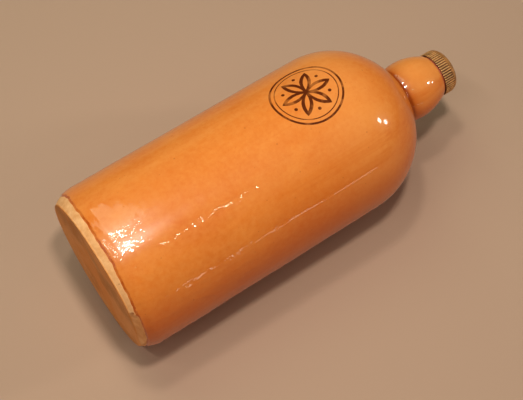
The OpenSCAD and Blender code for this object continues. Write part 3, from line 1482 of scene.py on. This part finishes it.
@dataclass
class StudioLamp:
    """One soft lamp. Place, aim and size in metres, power in watts."""

    name: str
    place: Place
    aim: Place
    power: float
    size: Point
    shape: Lamp = Lamp.OBLONG
    tint: Place = (1.0, 0.97, 0.87)

    def build(self) -> None:
        """Hangs the lamp and turns it to its aim."""
        data = bpy.data.lights.new(self.name, "AREA")
        data.shape = self.shape.value
        data.size, data.size_y = self.size
        data.energy = self.power
        data.color = self.tint
        lamp = bpy.data.objects.new(self.name, data)
        lamp.location = self.place
        away = Vector(self.place) - Vector(self.aim)
        lamp.rotation_euler = away.to_track_quat("Z", "Y").to_euler()
        bpy.context.scene.collection.objects.link(lamp)


@dataclass
class Studio:
    """Pale floor, soft lamps and a dim surround. Lengths in metres."""

    floor_tone: Colour = srgb(178, 145, 124)
    floor_size: float = 6.0
    surround_tone: Colour = srgb(255, 244, 222)
    surround_light: float = 0.032

    def build(self) -> None:
        """Sets up the floor, the lamps and the surround."""
        self._floor()
        for lamp in self._discs() + self._panels():
            lamp.build()
        self._surround()
        bpy.context.scene.view_settings.view_transform = "Standard"

    def _surround(self) -> None:
        """Hangs the surround."""
        world = bpy.data.worlds.new("studio_surround")
        world.use_nodes = True
        back = world.node_tree.nodes["Background"]
        back.inputs["Color"].default_value = self.surround_tone
        back.inputs["Strength"].default_value = self.surround_light
        bpy.context.scene.world = world

    def _floor(self) -> None:
        """Lays the floor that the bottle lies on."""
        half = self.floor_size / 2.0
        mesh = bpy.data.meshes.new("studio_floor")
        mesh.from_pydata([(-half, -half, 0.0), (half, -half, 0.0), (half, half, 0.0),
                          (-half, half, 0.0)], [], [(0, 1, 2, 3)])
        material = bpy.data.materials.new("pale_floor")
        material.use_nodes = True
        shader = material.node_tree.nodes["Principled BSDF"]
        shader.inputs["Base Color"].default_value = self.floor_tone
        shader.inputs["Roughness"].default_value = 0.85
        shader.inputs["Specular IOR Level"].default_value = 0.2
        mesh.materials.append(material)
        floor = bpy.data.objects.new("studio_floor", mesh)
        bpy.context.scene.collection.objects.link(floor)

    @staticmethod
    def _discs() -> list[StudioLamp]:
        """Round lamps: two keys, two small spots and a pair at the right.

        Returns:
            The lamps, not yet hung.
        """
        key_aim, middle, shoulder = (-0.05, 0.0, 0.06), (0.0, 0.0, 0.06), (0.06, -0.03, 0.1)
        plain, warm = (1.0, 0.97, 0.87), (1.0, 0.95, 0.7)
        return [StudioLamp(name, place, aim, power, (wide, wide), Lamp.ROUND, tint)
                for name, place, aim, power, wide, tint in (
                    ("key_front", (-0.035, -0.17, 1.08), key_aim, 4.7, 0.1, plain),
                    ("key_back", (-0.035, 0.145, 1.08), key_aim, 2.1, 0.11, plain),
                    ("spot_left", (0.11, -0.58, 0.98), middle, 0.13, 0.024, warm),
                    ("spot_right", (0.19, -0.595, 0.98), middle, 0.13, 0.024, warm),
                    ("right_pair_high", (0.885, -0.514, 0.628), shoulder, 1.1, 0.1, plain),
                    ("right_pair_low", (0.984, -0.514, 0.463), shoulder, 1.1, 0.1, plain))]

    @staticmethod
    def _panels() -> list[StudioLamp]:
        """Oblong lamps: a long key, ceiling panels, a fill and strips that light upwards.

        Returns:
            The lamps, not yet hung.
        """
        middle, left = (0.0, 0.0, 0.06), (-0.1, 0.0, 0.06)
        strips = ((0.042, 0.07, 0.08), (0.162, 0.105, 0.09), (0.27, 0.07, 0.05))
        return [
            StudioLamp("key_left", (-0.42, -0.1, 1.06), left, 2.5, (0.66, 0.028)),
            StudioLamp("ceiling_front", (0.0, -0.75, 1.25), middle, 0.65, (1.6, 0.9)),
            StudioLamp("ceiling_panel", (-0.03, 0.87, 1.15), (-0.03, 0.6, 0.0), 3.4, (0.28, 1.25),
                       tint=(0.8, 1.0, 0.74)),
            StudioLamp("panel_left", (-0.3, 0.55, 1.15), (-0.15, 0.3, 0.0), 1.1, (0.24, 0.6),
                       tint=(0.85, 1.0, 0.78)),
            StudioLamp("left_fill", (-0.95, 0.1, 0.5), left, 1.0, (0.5, 0.5)),
            *(StudioLamp(f"low_strip_{number}", (x, -0.75, 0.03), (x, -0.49, 1.0), power,
                         (length, 0.047), tint=(1.0, 0.97, 0.8))
              for number, (x, length, power) in enumerate(strips))]


@dataclass
class StudioCamera:
    """Camera at the photograph's place. Angles in degrees, lengths in metres."""

    azimuth: float = -34.15
    elevation: float = 62.95
    distance: float = 0.790
    focal_px: float = 1191.0
    aim: Place = (0.130 - LENGTH * MM / 2.0, 0.0, AXIS_Z * MM)
    slide_right: float = -0.0032
    slide_up: float = -0.0167
    sensor: float = 36.0

    def build(self) -> None:
        """Places the camera and makes it the scene's own."""
        turn, tilt = math.radians(self.azimuth), math.radians(self.elevation)
        back = Vector((math.sin(turn) * math.cos(tilt), -math.cos(turn) * math.cos(tilt),
                       math.sin(tilt)))
        right = Vector((math.cos(turn), math.sin(turn), 0.0))
        up = back.cross(right)
        data = bpy.data.cameras.new("photo_camera")
        data.sensor_fit = "HORIZONTAL"
        data.sensor_width = self.sensor
        data.lens = self.focal_px / IMAGE_W * self.sensor
        camera = bpy.data.objects.new("photo_camera", data)
        place = (Vector(self.aim) + right * self.slide_right + up * self.slide_up
                 + back * self.distance)
        turned = Matrix((right, up, back)).transposed().to_4x4()
        camera.matrix_world = Matrix.Translation(place) @ turned
        bpy.context.scene.collection.objects.link(camera)
        bpy.context.scene.camera = camera


def settle(piece: bpy.types.Object, body: Body, node: str, slot: Slot) -> None:
    """Puts a piece on its body in place of a CAD node, and reports it.

    Args:
        piece: The piece.
        body: Body that carries it.
        node: CAD node that it stands for.
        slot: Slot of the record that its finish belongs to; not used.
    """
    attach(piece, body.value)
    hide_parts(node)
    log.info("%s: %d faces on %s", piece.name, len(piece.data.polygons), body.value)


def dress(node: str, material: bpy.types.Material) -> None:
    """Gives a CAD node that stays in view its finish.

    Args:
        node: Name of the node.
        material: Its finish.
    """
    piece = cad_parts[node]
    piece.data.materials.clear()
    piece.data.materials.append(material)
    log.info("%s: dressed as %s", node, material.name)


def main() -> None:
    """Builds the bottle, its neck fitting and its stopper, then the studio."""
    logging.basicConfig(level=logging.INFO, format="%(name)s %(message)s")
    finishes = Finishes()
    StudioCamera().build()
    settle(StonewareBottle().build(finishes), Body.BOTTLE, "stoneware_bottle", Slot.GLAZE)
    settle(NeckFitting().build(finishes), Body.BOTTLE, "neck_bush", Slot.BUSH)
    dress("cement_bed", finishes.cement)
    settle(SealingWasher().build(finishes), Body.WASHER, "sealing_washer", Slot.RUBBER)
    stopper = ScrewStopper()
    settle(stopper.build_head(finishes), Body.STOPPER, "stopper_head", Slot.STOPPER)
    settle(stopper.build_stem(finishes), Body.STOPPER, "stopper_stem", Slot.BUSH)
    Studio().build()


if __name__ == "__main__":
    main()
